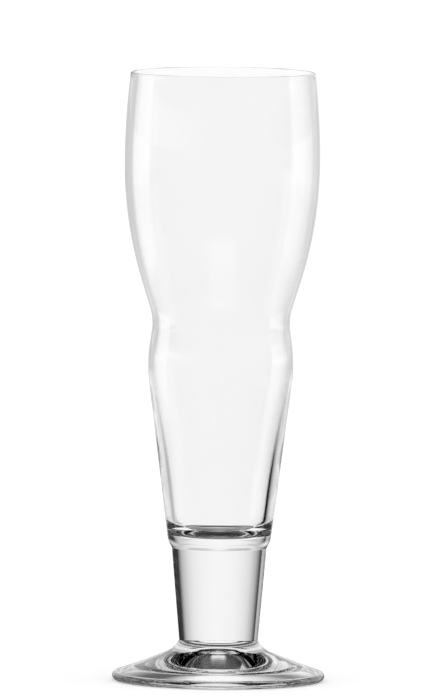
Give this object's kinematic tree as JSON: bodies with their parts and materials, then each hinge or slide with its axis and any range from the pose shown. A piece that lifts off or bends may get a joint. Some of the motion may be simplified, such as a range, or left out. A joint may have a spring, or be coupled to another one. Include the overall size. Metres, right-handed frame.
{
  "type": "cocktail glass",
  "caption": "Tall clear cocktail glass with a wide upper bowl, a pinched waist, a tapered lower bowl, a short solid stem and a round cone-shaped foot",
  "frame": {"origin": "Centre of the standing ring under the foot, on the table top", "axes": "+Z is the axis of the glass and points up through the mouth; the glass is round, so +X and +Y are free"},
  "size_m": [0.0784, 0.0784, 0.225],
  "materials": {
    "bowl_glass": "clear, blown, with a fire-polished rim",
    "stem_glass": "clear, pressed and fire-polished",
    "foot_glass": "clear, pressed and fire-polished"
  },
  "bodies": {
    "root": {"bowl": "bowl_glass", "stem": "stem_glass", "foot": "foot_glass"}
  },
  "joints": []
}
